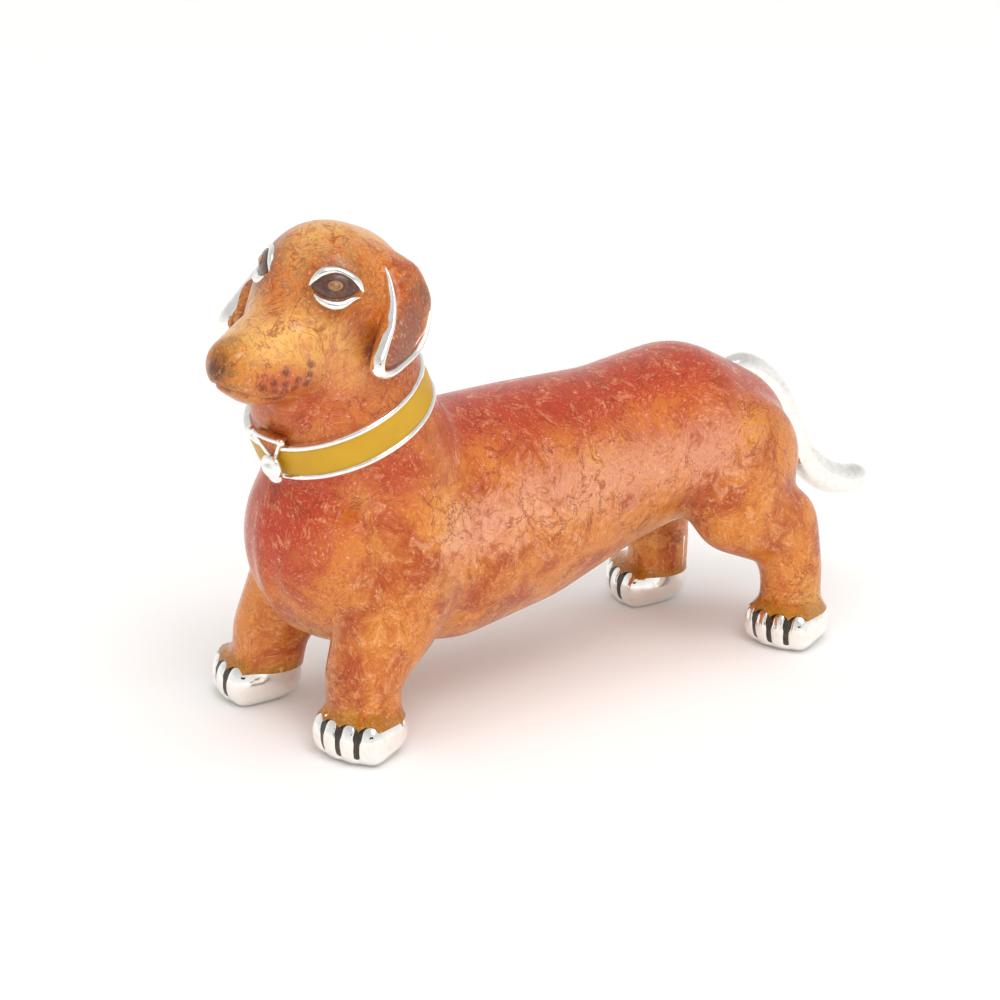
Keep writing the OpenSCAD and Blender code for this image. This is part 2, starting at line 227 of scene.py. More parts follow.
def melted(solid, grid):
    """One even skin over overlapping forms, as a mesh."""
    mesh = bpy.data.meshes.new("forms")
    solid.to_mesh(mesh)
    solid.free()
    work = bpy.data.objects.new("forms", mesh)
    bpy.context.scene.collection.objects.link(work)
    remesh = work.modifiers.new("melt", "REMESH")
    remesh.mode = "VOXEL"
    remesh.voxel_size = grid
    ready = work.evaluated_get(bpy.context.evaluated_depsgraph_get())
    skin = bpy.data.meshes.new_from_object(ready)
    bpy.data.objects.remove(work)
    return skin


def points(mesh):
    flat = np.empty(len(mesh.vertices) * 3, np.float32)
    mesh.vertices.foreach_get("co", flat)
    return flat.reshape(-1, 3).astype(float)


def normals(mesh):
    flat = np.empty(len(mesh.vertices) * 3, np.float32)
    mesh.vertices.foreach_get("normal", flat)
    return flat.reshape(-1, 3).astype(float)


def move_points(mesh, co):
    mesh.vertices.foreach_set("co", co.astype(np.float32).ravel())
    mesh.update()


def soften(mesh, rounds, weight):
    """Evens the skin out, each point moved half way to the middle of its neighbours, by its weight."""
    co = points(mesh)
    ends = np.empty(len(mesh.edges) * 2, np.int32)
    mesh.edges.foreach_get("vertices", ends)
    a, b = ends.reshape(-1, 2).T
    count = np.bincount(np.concatenate((a, b)), minlength=len(co))
    for _ in range(rounds):
        mean = np.stack([
            np.bincount(a, co[b, axis], len(co)) + np.bincount(b, co[a, axis], len(co)) for axis in range(3)
        ], 1) / count[:, None]
        co += 0.5 * weight[:, None] * (mean - co)
    move_points(mesh, co)


def smooth_step(value, low, high):
    t = np.clip((value - low) / (high - low), 0, 1)
    return t * t * (3 - 2 * t)


def away_from(co, path, place=BODY):
    """How far each point is from a line through the places of a path."""
    line = [np.array(place @ Vector(p)) for p in path]
    best = np.full(len(co), 1e9)
    for a, b in zip(line, line[1:] or line):
        along = b - a
        share = np.clip((co - a) @ along / max(along @ along, 1e-9), 0, 1)
        best = np.minimum(best, np.linalg.norm(co - a - share[:, None] * along, axis=1))
    return best


def press(mesh, path, width, depth, place=BODY):
    """Presses a soft groove into the skin along a path. A depth under zero raises a ridge."""
    co = points(mesh)
    co -= normals(mesh) * (depth * np.exp(-(away_from(co, path, place) / width) ** 2))[:, None]
    move_points(mesh, co)


def draped(tree, path, lift=0.0):
    """A path laid on a surface, and the surface's direction at each point of it."""
    found = [tree.find_nearest(Vector(p)) for p in path]
    return [spot + normal * lift for spot, normal, _, _ in found], [normal for _, normal, _, _ in found]


def tree_of(mesh):
    bm = opened(mesh)
    tree = BVHTree.FromBMesh(bm)
    bm.free()
    return tree


# The layers laid on the skin: real stains of colour, and also painted shade and a painted sheen.
STAINS_SHADE_AND_SHEEN = ("red", "painted_sheen", "gold", "painted_shade", "amber_and_shade", "brown", "mauve", "spot")


def stain_shade_or_sheen(mesh, name, path, reach, amount, place=BODY):
    """Lays a stain of colour, a painted shade or a painted sheen on the skin along a path. The enamel's nodes
    break up its edge.
    """
    co = points(mesh)
    layer = mesh.attributes.get(name) or mesh.attributes.new(name, "FLOAT", "POINT")
    old = np.empty(len(co), np.float32)
    layer.data.foreach_get("value", old)
    new = amount * np.exp(-(away_from(co, path, place) / reach) ** 2)
    layer.data.foreach_set("value", np.maximum(old, new).astype(np.float32))


def both(path):
    """The same path on the dog's left side and its right."""
    return [[(side * x, y, z) for x, y, z in path] for side in (LEFT, RIGHT)]


# ---------- Cutting the skin into its pieces ----------


def opened(mesh):
    bm = bmesh.new()
    bm.from_mesh(mesh)
    return bm


def cut(bm, place, direction):
    """Keeps what lies behind a plane and closes the cut with a flat face that has a sharp edge."""
    everything = bm.verts[:] + bm.edges[:] + bm.faces[:]
    bmesh.ops.bisect_plane(bm, geom=everything, plane_co=place, plane_no=direction, clear_outer=True)
    rim = [edge for edge in bm.edges if edge.is_boundary]
    cap = bmesh.ops.edgeloop_fill(bm, edges=rim)["faces"]
    for edge in rim:
        edge.smooth = False
    bmesh.ops.triangulate(bm, faces=cap)


def made(bm, name, material, slot, *nodes):
    """Turns a finished bmesh into a named piece of the object."""
    bmesh.ops.scale(bm, vec=(MM, MM, MM), verts=bm.verts[:])
    for face in bm.faces:
        face.smooth = True
    mesh = bpy.data.meshes.new(name)
    bm.to_mesh(mesh)
    bm.free()
    piece = bpy.data.objects.new(name, mesh)
    bpy.context.scene.collection.objects.link(piece)
    mesh.materials.append(material)
    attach(piece, "root")
    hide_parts(*nodes)


# ---------- The skin ----------

forms = bmesh.new()
for rows in (TORSO, NECK):
    taut_skin(forms, rows)
for rows in (SKULL, MUZZLE):
    taut_skin(forms, rows, HEAD)
for paw_name, (spot, size) in PAWS.items():
    side = LEFT if "left" in paw_name else RIGHT
    leg = front_leg(side, spot) if "front" in paw_name else rear_leg(side, spot)
    taut_skin(forms, leg)
    add_paw(forms, spot, size)
skin = melted(forms, SKIN_GRID)
height = points(skin)[:, 2]
soften(skin, 42, 0.6 + 0.4 * smooth_step(height, 3.2, 8.0))
co = points(skin)
move_points(skin, co + normals(skin) * SKIN_SWELL)

# Shoulders, ribs and thighs.
for path in both([(9.2, -9.5, 22.5), (9.4, -9.2, 16), (8.2, -10.6, 9.6)]):
    press(skin, path, 1.7, 0.3)
for path in both([(7.6, -15.5, 22), (8.4, -15.8, 17), (8.2, -17.6, 12)]):
    press(skin, path, 3.0, -0.3)
for path in both([(7.6, 9.8, 21), (8.4, 11.6, 16), (8.0, 13.4, 12.6)]):
    press(skin, path, 1.5, 0.3)
for path in both([(7.0, 17.5, 20.5), (7.8, 18.0, 15.5)]):
    press(skin, path, 3.0, -0.25)
for path in both([(8.6, -24.4, 8.9), (6.6, -26.6, 9.3), (4.2, -26.0, 10.4)]):
    press(skin, path, 0.5, 0.16)
for path in both([(1.7, -26.2, 25), (1.8, -27.5, 18), (1.4, -25.5, 11)]):
    press(skin, path, 0.9, 0.22)
press(skin, [(0, -26.8, 24), (0, -27.6, 16), (0, -24.0, 9)], 1.3, -0.3)

# The head and the ears are melted together a second time, so that each ear grows out of the skull
# while its lower edge stays crisp.
collar_axis = (COLLAR.to_3x3() @ Vector((0, 0, 1))).normalized()
collar_at = COLLAR.translation
head_forms = opened(skin)
cut(head_forms, collar_at, -collar_axis)
for side in (LEFT, RIGHT):
    for upper, lower in zip(EAR, EAR[1:]):
        hulled(head_forms, [(ear_spot(side, place), half) for place, half in upper + lower], HEAD, 56)
head_skin = melted(head_forms, HEAD_GRID)
co = points(head_skin)
root = np.full(len(co), 1e9)
for path in both([(4.2, 2.2, 4.8), (5.8, 2.6, 2.4)]):
    root = np.minimum(root, away_from(co, path, HEAD))
soften(head_skin, 60, 0.06 + 0.94 * smooth_step(root, 4.0, 2.2))

# Muzzle, stop, brows and cheeks.
press(head_skin, [(0, -6.2, 2.6)], 2.4, 0.5, HEAD)
press(head_skin, [(0, -5.6, 3.6), (0, -3.6, 6.2)], 0.9, 0.22, HEAD)
for path in both([(2.0, -5.6, 4.9), (4.0, -4.6, 5.9), (5.8, -2.4, 5.0)]):
    press(head_skin, path, 1.1, -0.3, HEAD)
for path in both([(4.15, -3.9, 3.4)]):
    press(head_skin, path, 2.4, 0.42, HEAD)
for path in both([(5.4, -3.4, -2.4)]):
    press(head_skin, path, 2.4, -0.35, HEAD)
for path in both([(3.4, -7.4, 0.6), (4.6, -5.4, -1.6), (4.6, -4.6, -4.4)]):
    press(head_skin, path, 0.9, 0.22, HEAD)
for path in both([(2.9, -9.4, -3.9)]):
    press(head_skin, path, 1.9, -0.28, HEAD)

# The mouth: a fine line along the muzzle's lower edge, with the jaw under it. The nostrils.
MOUTH = [
    (0.0, -13.6, -4.2), (1.6, -12.8, -4.9), (2.8, -10.6, -5.6),
    (3.6, -8.2, -6.2), (4.1, -6.4, -6.2), (4.6, -5.4, -5.4),
]
head_tree = tree_of(head_skin)
mouths = [draped(head_tree, [HEAD @ Vector(p) for p in path])[0] for path in both(MOUTH)]
for path in mouths:
    press(head_skin, path, 0.24, 0.25, Matrix())
for path in both([(1.0, -13.9, -2.2), (1.5, -13.4, -2.5)]):
    press(head_skin, path, 0.4, 0.2, HEAD)


# ---------- Materials ----------


def linear(hex_colour):
    """An sRGB hex colour as linear RGBA."""
    parts = [int(hex_colour[i : i + 2], 16) / 255 for i in (1, 3, 5)]
    return (*[p / 12.92 if p <= 0.04045 else ((p + 0.055) / 1.055) ** 2.4 for p in parts], 1)


def add(tree, kind, inputs=None, **settings):
    """Adds a node with its settings, and its input values and links."""
    node = tree.nodes.new(kind)
    for key, value in settings.items():
        setattr(node, key, value)
    for key, value in (inputs or {}).items():
        if isinstance(value, bpy.types.NodeSocket):
            tree.links.new(value, node.inputs[key])
        else:
            node.inputs[key].default_value = value
    return node


def blank(name):
    material = bpy.data.materials.new(name)
    material.use_nodes = True
    material.node_tree.nodes.clear()
    return material, material.node_tree


def surface(tree, inputs):
    shader = add(tree, "ShaderNodeBsdfPrincipled", inputs)
    add(tree, "ShaderNodeOutputMaterial", {"Surface": shader.outputs[0]})


def in_mm(tree):
    """The surface's own coordinates in millimetres."""
    where = add(tree, "ShaderNodeTexCoord").outputs["Object"]
    return add(tree, "ShaderNodeVectorMath", {0: where, "Scale": 1 / MM}, operation="SCALE").outputs[0]


def grain(tree, where, per_mm, detail=4.0, roughness=0.55, distortion=0.0):
    return add(tree, "ShaderNodeTexNoise", {
        "Vector": where, "Scale": per_mm, "Detail": detail, "Roughness": roughness, "Distortion": distortion,
    })


def share(tree, value, low, high, to_low=0.0, to_high=1.0):
    return add(tree, "ShaderNodeMapRange", {
        "Value": value, "From Min": low, "From Max": high, "To Min": to_low, "To Max": to_high,
    }).outputs[0]


def over(tree, under, colour, amount):
    """One colour laid over another by an amount."""
    return add(tree, "ShaderNodeMix", {0: amount, 6: under, 7: colour}, data_type="RGBA").outputs[2]


def times(tree, a, b):
    return add(tree, "ShaderNodeMath", {0: a, 1: b}, operation="MULTIPLY", use_clamp=True).outputs[0]


def pearl_enamel(name):
    """Translucent enamel with pearl in it, fired on silver: it was laid on wet in swirls of several
    oranges, so veins, clouds and fine bright flecks lie under a glass-smooth top."""
    material, tree = blank(name)
    mm = in_mm(tree)
    # Stir the coordinates, so that every layer of colour runs in the same swirls.
    stir = grain(tree, mm, 0.16, 2.0).outputs["Color"]
    stir = add(tree, "ShaderNodeVectorMath", {0: stir, 1: (0.5, 0.5, 0.5)}, operation="SUBTRACT").outputs[0]
    stir = add(tree, "ShaderNodeVectorMath", {0: stir, "Scale": 4.5}, operation="SCALE").outputs[0]
    stirred = add(tree, "ShaderNodeVectorMath", {0: mm, 1: stir}, operation="ADD").outputs[0]

    clouds = grain(tree, stirred, 0.22, 6.0, 0.62).outputs["Fac"]
    patches = grain(tree, mm, 0.13, 5.0, 0.6, 0.4).outputs["Fac"]
    wisps = grain(tree, stirred, 0.8, 8.0, 0.7, 0.7).outputs["Fac"]
    fine = grain(tree, stirred, 4.2, 5.0, 0.7, 0.2).outputs["Fac"]
    vein_noise = grain(tree, stirred, 0.26, 6.0, 0.6, 0.7).outputs["Fac"]
    off = add(tree, "ShaderNodeMath", {0: vein_noise, 1: 0.5}, operation="SUBTRACT").outputs[0]
    off = add(tree, "ShaderNodeMath", {0: off}, operation="ABSOLUTE").outputs[0]
    veins = times(tree, share(tree, off, 0.0, 0.018, 1.0, 0.0), share(tree, patches, 0.38, 0.52))
    flecks = times(tree, share(tree, fine, 0.55, 0.66), share(tree, wisps, 0.38, 0.56))

    ragged = share(tree, wisps, 0.3, 0.7, -0.5, 0.5)
    colour = over(tree, linear("#D98434"), linear("#B24E18"), share(tree, clouds, 0.44, 0.62))
    colour = over(tree, colour, linear("#E4A348"), times(tree, share(tree, patches, 0.52, 0.66), 0.7))
    masks = {}
    # Each layer laid on the skin, the stains and the painted shade and sheen alike, frays into the swirls.
    for layer_name in STAINS_SHADE_AND_SHEEN:
        laid = add(tree, "ShaderNodeAttribute", attribute_name=layer_name).outputs["Fac"]
        frayed = add(tree, "ShaderNodeMath", {0: laid, 1: ragged}, operation="ADD").outputs[0]
        keep = share(tree, laid, 0.0, 0.15)
        masks[layer_name] = times(tree, share(tree, frayed, 0.2, 0.95), keep)
    colour = over(tree, colour, linear("#EEB866"), times(tree, masks["gold"], 0.85))
    # Painted sheen: pale pink where the sheen layer lies, on the upper flanks and shoulders.
    colour = over(tree, colour, linear("#E4A080"), times(tree, masks["painted_sheen"], 0.85))
    colour = over(tree, colour, linear("#B8361A"), times(tree, masks["red"], 0.95))
    colour = over(tree, colour, linear("#F0B67C"), times(tree, share(tree, wisps, 0.52, 0.68), 0.45))
    colour = over(tree, colour, linear("#9E3A14"), times(tree, share(tree, wisps, 0.46, 0.3), 0.5))
    colour = over(tree, colour, linear("#8A2C10"), times(tree, veins, 0.75))
    # Painted shade: dark brown where the shade layer lies, round the eyes, on the brows, cheeks and ear
    # roots.
    colour = over(tree, colour, linear("#6C2C12"), times(tree, masks["painted_shade"], 0.75))
    # Amber: thin enamel at the coat's edge over the paws and at the nose, and painted shade round the eyes.
    colour = over(tree, colour, linear("#A9741C"), times(tree, masks["amber_and_shade"], 0.75))
    colour = over(tree, colour, linear("#6A241A"), times(tree, masks["spot"], 0.75))
    colour = over(tree, colour, linear("#5A3016"), times(tree, masks["brown"], 0.9))
    colour = over(tree, colour, linear("#8C5848"), times(tree, masks["mauve"], 0.85))
    colour = over(tree, colour, linear("#F8C48C"), times(tree, flecks, 0.6))
    colour = over(tree, colour, linear("#8A2E10"), times(tree, share(tree, fine, 0.46, 0.32), 0.55))

    ripple = add(tree, "ShaderNodeBump", {"Height": fine, "Strength": 0.4, "Distance": 0.0002}).outputs[0]
    surface(tree, {
        "Base Color": colour, "Metallic": 0.3, "Roughness": 0.4, "Specular IOR Level": 0.15, "Normal": ripple,
        "Coat Weight": 0.6, "Coat Roughness": 0.03, "Coat IOR": 1.5,
        "Subsurface Weight": 0.12, "Subsurface Radius": (1.0, 0.45, 0.2), "Subsurface Scale": 0.0008,
    })
    return material


def polished_silver(name):
    """Cast sterling silver, hand polished: a bright mirror that is a little wavy, warmer in random patches.
    """
    material, tree = blank(name)
    mm = in_mm(tree)
    wave = grain(tree, mm, 0.6, 2.0, 0.5).outputs["Fac"]
    wear = grain(tree, mm, 1.5, 4.0, 0.6).outputs["Fac"]
    colour = over(tree, linear("#FAF8F4"), linear("#EFE6D8"), share(tree, wear, 0.5, 0.8))
    bump = add(tree, "ShaderNodeBump", {"Height": wave, "Strength": 0.3, "Distance": 0.0003}).outputs[0]
    surface(tree, {
        "Base Color": colour, "Metallic": 1.0, "Normal": bump,
        "Roughness": share(tree, wear, 0.3, 0.7, 0.04, 0.1),
    })
    return material


def opaque_enamel(name, main, other, per_mm, roughness=0.3, coat=1.0):
    """Opaque enamel, fired and stoned flush: an even glassy colour with slight clouds in it."""
    material, tree = blank(name)
    mm = in_mm(tree)
    clouds = grain(tree, mm, per_mm, 5.0, 0.6, 0.5).outputs["Fac"]
    colour = over(tree, linear(main), linear(other), share(tree, clouds, 0.4, 0.7))
    bump = add(tree, "ShaderNodeBump", {"Height": clouds, "Strength": 0.15, "Distance": 0.0001}).outputs[0]
    surface(tree, {
        "Base Color": colour, "Roughness": roughness, "Normal": bump,
        "Coat Weight": coat, "Coat Roughness": 0.04, "Coat IOR": 1.5,
    })
    return material


pearl_orange = pearl_enamel("pearl orange enamel on silver")
silver = polished_silver("polished cast silver")
yellow = opaque_enamel("opaque yellow enamel", "#C49400", "#CA9C00", 0.3, 0.5, 0.12)
black = opaque_enamel("matt black enamel in grooves", "#1C140F", "#4A3A22", 1.6, 0.45, 0.3)
eye_brown = opaque_enamel("dark brown eye enamel", "#3C1B10", "#6A3A22", 2.5, 0.4, 0.6)
pupil_tan = opaque_enamel("tan pupil enamel", "#A8763F", "#6A4020", 2.0)


# ---------- Stains of colour, painted shade and painted sheen ---

for part in (skin, head_skin):
    for layer_name in STAINS_SHADE_AND_SHEEN:
        part.attributes.new(layer_name, "FLOAT", "POINT")
    stain_shade_or_sheen(part, "red", [(0, -18, 29.0), (0, -19, 31.5)], 8.4, 1.3)
stain_shade_or_sheen(skin, "red", [(0, -10, 27), (0, 4, 25.5), (0, 16, 26.5), (0, 22, 24)], 7.5, 1.4)
stain_shade_or_sheen(skin, "red", [(1.5, -27, 20), (3, -25, 25)], 7.0, 1.3)
for path in both([(7.5, -18, 23.5)]):
    stain_shade_or_sheen(skin, "red", path, 4.5, 0.75)
# Painted sheen: a pale band along each upper flank and over each shoulder, where the light falls on them.
for path in both([(8.4, -4, 19.5), (8.0, 6, 19.5), (7.6, 16, 20)]):
    stain_shade_or_sheen(skin, "painted_sheen", path, 3.6, 0.85)
for path in both([(9.0, -12, 18.0), (9.2, -6.5, 18.5)]):
    stain_shade_or_sheen(skin, "painted_sheen", path, 3.2, 0.9)
# Painted shade: darker round each eye in its socket, along the brows and down the cheek in front of each ear.
for path in both([(4.15, -3.9, 3.4)]):
    stain_shade_or_sheen(head_skin, "painted_shade", path, 3.3, 1.05, HEAD)
for path in both([(2.4, -5.5, 4.6), (3.6, -5.0, 5.6)]):
    stain_shade_or_sheen(head_skin, "painted_shade", path, 1.2, 0.7, HEAD)
for path in both([(5.8, -2.4, -0.5), (6.0, -1.0, -3.5)]):
    stain_shade_or_sheen(head_skin, "painted_shade", path, 1.8, 0.7, HEAD)
for path in mouths:
    stain_shade_or_sheen(head_skin, "brown", path, 0.2, 1.1, Matrix())
# Whisker spots in rows on the muzzle's sides, in a redder patch.
WHISKER_ROWS = ((0, 2), (0, 1, 2, 3), (0, 1, 2, 3, 4))     # the columns that have a spot, for each row
for side in (LEFT, RIGHT):
    stain_shade_or_sheen(head_skin, "red", [(side * 3.4, -11.0, -3.6), (side * 3.4, -8.0, -3.6)], 2.0, 0.75, HEAD)
    for row, column in [(row, column) for row, columns in enumerate(WHISKER_ROWS) for column in columns]:
        wander = 0.3 * math.sin(7 * row + 5 * column)
        spot = HEAD @ Vector((side * 4.6, -6.9 - 1.3 * column - 0.5 * wander, -2.6 - 1.1 * row + wander))
        stain_shade_or_sheen(head_skin, "spot", draped(head_tree, [spot])[0], 0.36 + 0.1 * wander, 1.4, Matrix())
# Painted shade with an amber tint round each eye.
for path in both([(4.15, -3.9, 3.4)]):
    stain_shade_or_sheen(head_skin, "amber_and_shade", path, 2.7, 0.5, HEAD)
for path in both([(2.0, -9.4, -0.4), (3.6, -7.2, 0.0), (4.8, -5.4, -1.4), (5.4, -3.6, -3.4)]):
    stain_shade_or_sheen(head_skin, "gold", path, 2.9, 1.3, HEAD)
stain_shade_or_sheen(head_skin, "gold", [(0, -2.0, 6.6), (0, 1.5, 6.4)], 4.5, 0.8, HEAD)
for path in both([(8.2, 0.8, 0.2), (8.8, -0.9, -1.8)]):
    stain_shade_or_sheen(head_skin, "mauve", path, 2.0, 1.2, HEAD)
# Painted shade at the back of each ear near its root.
for path in both([(7.6, 3.0, 1.6)]):
    stain_shade_or_sheen(head_skin, "painted_shade", path, 2.0, 0.9, HEAD)
stain_shade_or_sheen(head_skin, "amber_and_shade", [(0, -13.0, -1.6)], 2.9, 0.8, HEAD)
stain_shade_or_sheen(head_skin, "brown", [(0, -14.2, -2.6)], 1.9, 1.2, HEAD)


def coat_foot(co):
    """How high the coat ends over each point of the floor: it dips between the toes and ends at a
    plain height round the heel. Away from the paws it ends nowhere."""
    foot = np.full(len(co), -1.0)
    for spot, size in PAWS.values():
        local = (co - np.array(spot)) @ np.array(paw_place(spot).to_3x3())
        x, y = local[:, 0], local[:, 1]
        toe = size[0] * TOE_SHARE
        across = x / (toe + 0.2 * np.clip(-y, 0, 9))
        arch = np.abs(np.sin(math.pi * np.clip(across, -2, 2)))
        front = smooth_step(-y, -1.0, 1.5)
        top = size[2] * (0.64 + front * (0.1 * arch ** 0.7 + 0.02))
        foot = np.where(np.hypot(x, y) < 6.0, top, foot)
    return foot


co = points(skin)
foot = coat_foot(co)
# The coat's thin lower edge over each paw is amber.
amber_and_shade = np.where(foot > 0, 1.1 * np.exp(-(np.clip(co[:, 2] - foot, 0, 9) / 0.8) ** 2), 0)
skin.attributes["amber_and_shade"].data.foreach_set("value", amber_and_shade.astype(np.float32))


# ---------- Coats and paws ----------


def lift_by_foot(bm, way):
    foot = coat_foot(np.array([v.co for v in bm.verts]))
    for vertex, rise in zip(bm.verts, foot):
        vertex.co.z += way * rise


body = opened(skin)
cut(body, collar_at, collar_axis)
lift_by_foot(body, -1)
cut(body, (0, 0, 0), (0, 0, -1))
lift_by_foot(body, 1)
made(body, "body_coat", pearl_orange, "orange_enamel", "body_enamel")


PAW_TOP = 0.8       # the bare paw runs up to here under the coat, as a share of its height
GAP_HALF = 0.42     # half the width of the black in a gap
GAP_SINK = 0.12     # how far it lies under the silver


def toe_gap(at, size, step):
    """The path of the gap between two toes, from the sole's front up over the paw."""
    turn = paw_place(at).to_3x3() @ turned(step * TOE_FAN, "Z").to_3x3()
    start = paw_place(at) @ Vector((step * size[0] * TOE_SHARE, 0, 0))
    steps = ((-1.02, 0.1), (-1.03, 0.3), (-0.95, 0.6), (-0.75, 0.85), (-0.45, 1.0), (-0.2, 1.05))
    return [start + turn @ Vector((0, size[1] * back, size[2] * up)) for back, up in steps], turn


def pressed(bm, path, width, depth):
    """The same soft groove as press makes, in a bmesh whose path is in the row frame."""
    bm.normal_update()
    co = np.array([v.co for v in bm.verts])
    push = depth * np.exp(-(away_from(co, path, Matrix()) / width) ** 2)
    for vertex, by in zip(bm.verts, push):
        if by > 0.001:
            vertex.co -= vertex.normal * by


for paw_name, (spot, size) in PAWS.items():
    paw = opened(skin)
    far_off = [v for v in paw.verts if (v.co - spot).xy.length > 6.5 or v.co.z > 8]
    bmesh.ops.delete(paw, geom=far_off, context="VERTS")
    bmesh.ops.subdivide_edges(paw, edges=paw.edges[:], cuts=1, use_grid_fill=True)
    for _ in range(3):
        bmesh.ops.smooth_vert(
            paw, verts=paw.verts[:], factor=0.5, use_axis_x=True, use_axis_y=True, use_axis_z=True
        )
    cut(paw, (0, 0, size[2] * PAW_TOP), (0, 0, 1))
    paw.normal_update()
    for vertex in paw.verts:
        vertex.co -= vertex.normal * COAT_STEP
    cut(paw, (0, 0, 0.02), (0, 0, -1))
    tree = BVHTree.FromBMesh(paw)
    gaps = bmesh.new()
    grooves = []
    for step in (-1, 0, 1):
        path, turn = toe_gap(spot, size, step)
        path, _ = draped(tree, path)
        grooves.append(path)
        fill = paw.copy()
        fill.normal_update()
        for vertex in fill.verts:
            vertex.co -= vertex.normal * GAP_SINK
        across = turn @ Vector((1, 0, 0))
        ahead = turn @ Vector((0, -1, 0))
        cut(fill, path[2] + across * GAP_HALF, across)
        cut(fill, path[2] - across * GAP_HALF, -across)
        cut(fill, path[-1] - ahead * 0.6, -ahead)
        cut(fill, (0, 0, 0.3), (0, 0, -1))
        pour(fill, gaps)
    for path in grooves:
        pressed(paw, path, 0.26, 0.3)
        pressed(paw, path[2:], 0.34, 0.2)
    made(paw, paw_name + "_foot", silver, "silver", paw_name + "_paw")
    made(gaps, paw_name + "_toe_gaps", black, "black_enamel", paw_name + "_toe_lines")

# The nose is the tip of the head, cut off where the brown enamel starts.
head = opened(head_skin)
nose = head.copy()
nose_at = HEAD @ Vector((0, -12.6, -1.9))
nose_out = (HEAD.to_3x3() @ Vector((0, -1, 0.25))).normalized()
cut(nose, nose_at, -nose_out)
cut(head, nose_at, nose_out)
made(nose, "nose_tip", pearl_orange, "nose_enamel", "nose")
for side, side_name in ((LEFT, "left"), (RIGHT, "right")):
    ear = head.copy()
    ear_at = HEAD @ Vector((side * 6.9, 0, 0))
    ear_out = (HEAD.to_3x3() @ Vector((side, 0, 0.25))).normalized()
    cut(ear, ear_at, -ear_out)
    cut(head, ear_at, ear_out)
    made(ear, side_name + "_ear_coat", pearl_orange, "ear_enamel", side_name + "_ear_enamel")
skin_of_head = BVHTree.FromBMesh(head)
made(head, "head_coat", pearl_orange, "orange_enamel", "head_enamel")


# ---------- Swept silver: tail, ear rims and eyelids ----------


def eased(rows, steps):
    """Rows of numbers with a smooth curve's rows between them."""
    rows = [np.array(row, float) for row in rows]
    line = []
    for i in range(len(rows) - 1):
        a, b, c, d = rows[max(i - 1, 0)], rows[i], rows[i + 1], rows[min(i + 2, len(rows) - 1)]
        for k in range(steps):
            t = k / steps
            line.append(0.5 * (2 * b + (c - a) * t + (2 * a - 5 * b + 4 * c - d) * t * t
                               + (3 * b - a - 3 * c + d) * t * t * t))
    return line + [rows[-1]]


def swept(path, sizes, ups, sides=20, steps=6, domed=False):
    """A closed rod along a path. sizes gives its half width, and its half thickness along ups."""
    line = eased([(*p, *size, *up) for p, size, up in zip(path, sizes, ups)], steps)
    if domed:
        last, ahead = line[-1], line[-1][:3] - line[-2][:3]
        ahead /= np.linalg.norm(ahead)
        for angle in (20, 38, 54, 68, 80):
            row = last.copy()
            row[:3] += ahead * last[3] * math.sin(math.radians(angle))
            row[3:5] *= math.cos(math.radians(angle))
            line.append(row)
    bm = bmesh.new()
    bmesh.ops.create_circle(bm, segments=sides, radius=1)
    edges = bm.edges[:]
    ring = bm.verts[:]
    first = edges[:]
    placed = Matrix()
    for i, row in enumerate(line):
        ahead = Vector(line[min(i + 1, len(line) - 1)][:3]) - Vector(line[max(i - 1, 0)][:3])
        ahead.normalize()
        up = Vector(row[5:8])
        up = (up - ahead * up.dot(ahead)).normalized()
        across = up.cross(ahead)
        place = Matrix((
            (*(across * row[3]), 0), (*(up * row[4]), 0), (*ahead, 0), (*row[:3], 1),
        )).transposed()
        if i:
            grown = bmesh.ops.extrude_edge_only(bm, edges=edges)["geom"]
            ring = [g for g in grown if isinstance(g, bmesh.types.BMVert)]
            edges = [g for g in grown if isinstance(g, bmesh.types.BMEdge)]
        bmesh.ops.transform(bm, matrix=place @ placed.inverted(), verts=ring)
        placed = place
    bmesh.ops.edgeloop_fill(bm, edges=first)
    bmesh.ops.edgeloop_fill(bm, edges=edges)
    bmesh.ops.recalc_face_normals(bm, faces=bm.faces[:])
    return bm


TAIL = [
    (21.8, 23.6, 0.6), (24.4, 23.4, 1.25), (26.7, 21.9, 1.35), (28.8, 19.2, 1.35), (30.0, 16.4, 1.35),
    (31.4, 13.6, 1.45), (33.4, 11.6, 1.5), (35.6, 10.5, 1.45), (37.5, 10.2, 1.3),
]
tail_x = middle("tail").x
tail = swept(
    [(tail_x, START.y + y, z) for y, z, _ in TAIL], [(r, r) for _, _, r in TAIL],
    [(1, 0, 0)] * len(TAIL), 32, 8, True,
)
made(tail, "tail_rod", silver, "silver", "tail")

# The left ear's bare rim: place in the head's frame, half width, half depth.
EAR_RIM = [
    ((5.9, 0.15, 4.6), 0.05, 0.1), ((6.55, 0.0, 3.6), 0.15, 0.28), ((7.35, -0.45, 2.1), 0.24, 0.42),
    ((8.0, -1.35, 0.5), 0.28, 0.55), ((8.35, -2.45, -0.9), 0.34, 0.62), ((8.6, -3.3, -2.1), 0.46, 0.7),
    ((8.65, -3.2, -3.0), 0.5, 0.75), ((8.6, -2.1, -3.3), 0.42, 0.75), ((8.5, -0.5, -2.95), 0.36, 0.75),
    ((8.3, 1.2, -2.35), 0.32, 0.75), ((8.1, 2.4, -1.4), 0.28, 0.7), ((7.5, 3.75, 0.1), 0.2, 0.5),
    ((6.6, 4.4, 1.4), 0.05, 0.12),
]
for side, side_name in ((LEFT, "left"), (RIGHT, "right")):
    path = [HEAD @ Vector(ear_spot(side, place)) for place, _, _ in EAR_RIM]
    out = HEAD.to_3x3() @ Vector((side, 0, 0))
    rim = swept(path, [(w, d) for _, w, d in EAR_RIM], [out] * len(path), 24)
    made(rim, side_name + "_ear_rim", silver, "silver", side_name + "_ear")

